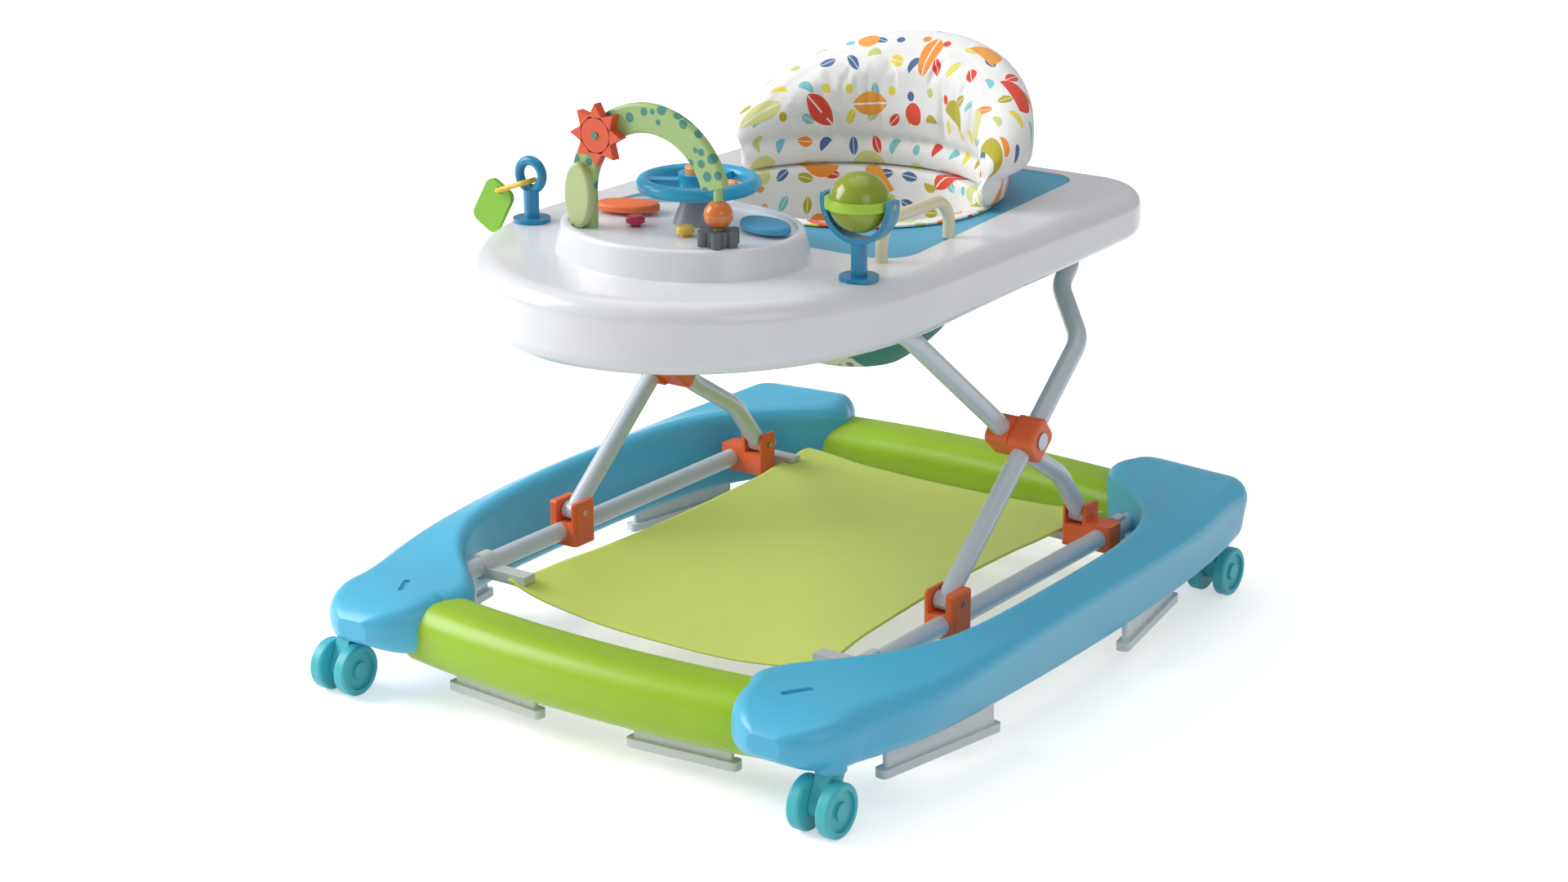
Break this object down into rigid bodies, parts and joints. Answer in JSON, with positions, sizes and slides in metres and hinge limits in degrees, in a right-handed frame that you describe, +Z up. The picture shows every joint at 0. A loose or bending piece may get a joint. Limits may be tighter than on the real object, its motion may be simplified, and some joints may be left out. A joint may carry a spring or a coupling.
{
  "type": "bouncer seat",
  "caption": "Baby walker-rocker: padded seat hung in a toy tray on a folding X-frame over a base with rocker runners, swivel casters and a foot mat.",
  "frame": {"origin": "on the floor under the middle of the base", "axes": "+Z up, the child faces -Y, +X is the child's left-hand side"},
  "size_m": [0.6304, 0.748, 0.557],
  "materials": {
    "runner_blue": "smooth moulded plastic",
    "rail_green": "smooth moulded plastic",
    "tube_steel": "silver-grey powder coat",
    "pin_steel": "plain steel",
    "caster_teal": "moulded plastic",
    "caster_fork_teal": "moulded plastic",
    "connector_orange": "moulded plastic",
    "clip_grey": "moulded plastic",
    "mat_cloth": "woven cloth",
    "pad_clear": "pale soft plastic",
    "tray_white": "smooth moulded plastic",
    "deck_blue": "satin moulded plastic",
    "slide_white": "moulded plastic",
    "seat_cloth": "printed woven cloth",
    "sling_cloth": "woven cloth with teal binding",
    "post_blue": "moulded plastic",
    "ball_olive": "moulded plastic",
    "band_green": "moulded plastic",
    "link_yellow": "moulded plastic",
    "tag_green": "moulded plastic",
    "arch_green": "moulded plastic",
    "leaf_pale": "moulded plastic",
    "star_orange": "moulded plastic",
    "gear_grey": "moulded plastic",
    "bead_orange": "moulded plastic",
    "dish_white": "smooth moulded plastic",
    "column_grey": "moulded plastic",
    "wheel_blue": "moulded plastic",
    "horn_orange": "moulded plastic",
    "pad_orange": "moulded plastic",
    "pad_blue": "moulded plastic",
    "button_red": "moulded plastic",
    "button_yellow": "moulded plastic",
    "handle_cream": "moulded plastic"
  },
  "bodies": {
    "base": {"left_runner": "runner_blue", "right_runner": "runner_blue", "front_rail": "rail_green", "rear_rail": "rail_green", "left_side_tube": "tube_steel", "right_side_tube": "tube_steel", "left_rear_bracket": "connector_orange", "right_rear_bracket": "connector_orange", "bracket_pins": "pin_steel", "mat_clips": "clip_grey", "floor_mat": "mat_cloth", "rail_stopper_pads": "pad_clear", "runner_stopper_pads": "pad_clear"},
    "front_left_fork": {"front_left_caster_fork": "caster_fork_teal"},
    "front_left_wheels": {"front_left_caster_wheels": "caster_teal"},
    "front_right_fork": {"front_right_caster_fork": "caster_fork_teal"},
    "front_right_wheels": {"front_right_caster_wheels": "caster_teal"},
    "rear_left_fork": {"rear_left_caster_fork": "caster_fork_teal"},
    "rear_left_wheels": {"rear_left_caster_wheels": "caster_teal"},
    "rear_right_fork": {"rear_right_caster_fork": "caster_fork_teal"},
    "rear_right_wheels": {"rear_right_caster_wheels": "caster_teal"},
    "inner_legs": {"inner_leg_frame": "tube_steel", "left_inner_pivot_block": "connector_orange", "right_inner_pivot_block": "connector_orange"},
    "outer_legs": {"outer_leg_frame": "tube_steel", "left_outer_pivot_block": "connector_orange", "right_outer_pivot_block": "connector_orange", "leg_pivot_pins": "pin_steel"},
    "front_sliders": {"left_front_slider": "connector_orange", "right_front_slider": "connector_orange", "slider_pins": "pin_steel"},
    "slide_shoes": {"tray_slide_shoes": "slide_white"},
    "tray": {"tray_shell": "tray_white", "deck_panel": "deck_blue", "slide_channels": "slide_white", "rear_tube_saddles": "slide_white", "seat_sling": "sling_cloth", "seat_back_cushion": "seat_cloth", "ball_post": "post_blue", "loop_post": "post_blue", "grab_handle": "handle_cream"},
    "play_tray": {"play_tray_dish": "dish_white", "steering_column": "column_grey", "toy_arch": "arch_green", "arch_leaf": "leaf_pale"},
    "wheel": {"steering_wheel": "wheel_blue"},
    "horn": {"horn_button": "horn_orange"},
    "press_orange": {"orange_pad": "pad_orange"},
    "press_blue": {"blue_pad": "pad_blue"},
    "press_red": {"red_button": "button_red"},
    "press_yellow": {"yellow_button": "button_yellow"},
    "star": {"star_spinner": "star_orange"},
    "arch_bead": {"bead": "bead_orange"},
    "arch_gear": {"gear_knob": "gear_grey"},
    "ball": {"ball_spinner": "ball_olive", "ball_band": "band_green"},
    "link": {"toy_link": "link_yellow"},
    "tag": {"toy_tag": "tag_green"}
  },
  "joints": [
    {"name": "front_left_swivel", "type": "hinge", "parent": "base", "child": "front_left_fork", "pos_m": [-0.265, -0.333, 0.06], "axis": [0, 0, 1], "continuous": true},
    {"name": "front_left_roll", "type": "hinge", "parent": "front_left_fork", "child": "front_left_wheels", "pos_m": [-0.265, -0.345, 0.024], "axis": [1, 0, 0], "continuous": true},
    {"name": "front_right_swivel", "type": "hinge", "parent": "base", "child": "front_right_fork", "pos_m": [0.265, -0.333, 0.06], "axis": [0, 0, 1], "continuous": true},
    {"name": "front_right_roll", "type": "hinge", "parent": "front_right_fork", "child": "front_right_wheels", "pos_m": [0.265, -0.345, 0.024], "axis": [1, 0, 0], "continuous": true},
    {"name": "rear_left_swivel", "type": "hinge", "parent": "base", "child": "rear_left_fork", "pos_m": [-0.265, 0.333, 0.06], "axis": [0, 0, 1], "continuous": true},
    {"name": "rear_left_roll", "type": "hinge", "parent": "rear_left_fork", "child": "rear_left_wheels", "pos_m": [-0.265, 0.345, 0.024], "axis": [1, 0, 0], "continuous": true},
    {"name": "rear_right_swivel", "type": "hinge", "parent": "base", "child": "rear_right_fork", "pos_m": [0.265, 0.333, 0.06], "axis": [0, 0, 1], "continuous": true},
    {"name": "rear_right_roll", "type": "hinge", "parent": "rear_right_fork", "child": "rear_right_wheels", "pos_m": [0.265, 0.345, 0.024], "axis": [1, 0, 0], "continuous": true},
    {"name": "leg_fold", "type": "hinge", "parent": "base", "child": "inner_legs", "pos_m": [0, 0.202, 0.108], "axis": [1, 0, 0], "range_deg": [0, 23]},
    {"name": "leg_cross", "type": "hinge", "parent": "inner_legs", "child": "outer_legs", "pos_m": [0, 0.064, 0.223], "axis": [1, 0, 0], "range_deg": [-46, 0]},
    {"name": "slider_pivot", "type": "hinge", "parent": "outer_legs", "child": "front_sliders", "pos_m": [0, -0.074, 0.108], "axis": [1, 0, 0], "range_deg": [0, 23]},
    {"name": "tray_pivot", "type": "hinge", "parent": "outer_legs", "child": "tray", "pos_m": [0, 0.2332, 0.364], "axis": [1, 0, 0], "range_deg": [0, 23]},
    {"name": "shoe_pivot", "type": "hinge", "parent": "inner_legs", "child": "slide_shoes", "pos_m": [0, -0.1052, 0.364], "axis": [1, 0, 0], "range_deg": [-23, 0]},
    {"name": "play_tray_lift", "type": "slide", "parent": "tray", "child": "play_tray", "axis": [0, 0, 1], "range_m": [0, 0.08]},
    {"name": "wheel_turn", "type": "hinge", "parent": "play_tray", "child": "wheel", "pos_m": [0, -0.152, 0.475], "axis": [0, 0, 1], "continuous": true},
    {"name": "horn_press", "type": "slide", "parent": "wheel", "child": "horn", "axis": [0, 0, -1], "range_m": [0, 0.003], "stiffness_N_per_m": 400, "springref_m": -0.002},
    {"name": "orange_press", "type": "slide", "parent": "play_tray", "child": "press_orange", "axis": [0, 0, -1], "range_m": [0, 0.003], "stiffness_N_per_m": 400, "springref_m": -0.002},
    {"name": "blue_press", "type": "slide", "parent": "play_tray", "child": "press_blue", "axis": [0, 0, -1], "range_m": [0, 0.003], "stiffness_N_per_m": 400, "springref_m": -0.002},
    {"name": "red_press", "type": "slide", "parent": "play_tray", "child": "press_red", "axis": [0, 0, -1], "range_m": [0, 0.003], "stiffness_N_per_m": 400, "springref_m": -0.002},
    {"name": "yellow_press", "type": "slide", "parent": "play_tray", "child": "press_yellow", "axis": [0, 0, -1], "range_m": [0, 0.003], "stiffness_N_per_m": 400, "springref_m": -0.002},
    {"name": "star_spin", "type": "hinge", "parent": "play_tray", "child": "star", "pos_m": [-0.04818, -0.2304, 0.52551], "axis": [0, 1, 0], "continuous": true},
    {"name": "gear_spin", "type": "hinge", "parent": "play_tray", "child": "arch_gear", "pos_m": [0.072, -0.221, 0.45], "axis": [0, 0, 1], "continuous": true},
    {"name": "bead_spin", "type": "hinge", "parent": "play_tray", "child": "arch_bead", "pos_m": [0.072, -0.221, 0.47], "axis": [0, 0, 1], "continuous": true},
    {"name": "ball_spin", "type": "hinge", "parent": "tray", "child": "ball", "pos_m": [0.178, -0.166, 0.485], "axis": [1, 0, 0], "continuous": true},
    {"name": "link_swing", "type": "hinge", "parent": "tray", "child": "link", "pos_m": [-0.178, -0.166, 0.4554], "axis": [0, 1, 0], "range_deg": [0, 70]},
    {"name": "tag_swing", "type": "hinge", "parent": "link", "child": "tag", "pos_m": [-0.21371, -0.166, 0.4424], "axis": [0, 1, 0], "range_deg": [-5, 60]}
  ],
  "couplings": [
    {"joint": "leg_cross", "follows": "leg_fold", "ratio": -2},
    {"joint": "slider_pivot", "follows": "leg_fold", "ratio": 1},
    {"joint": "tray_pivot", "follows": "leg_fold", "ratio": 1},
    {"joint": "shoe_pivot", "follows": "leg_fold", "ratio": -1}
  ]
}
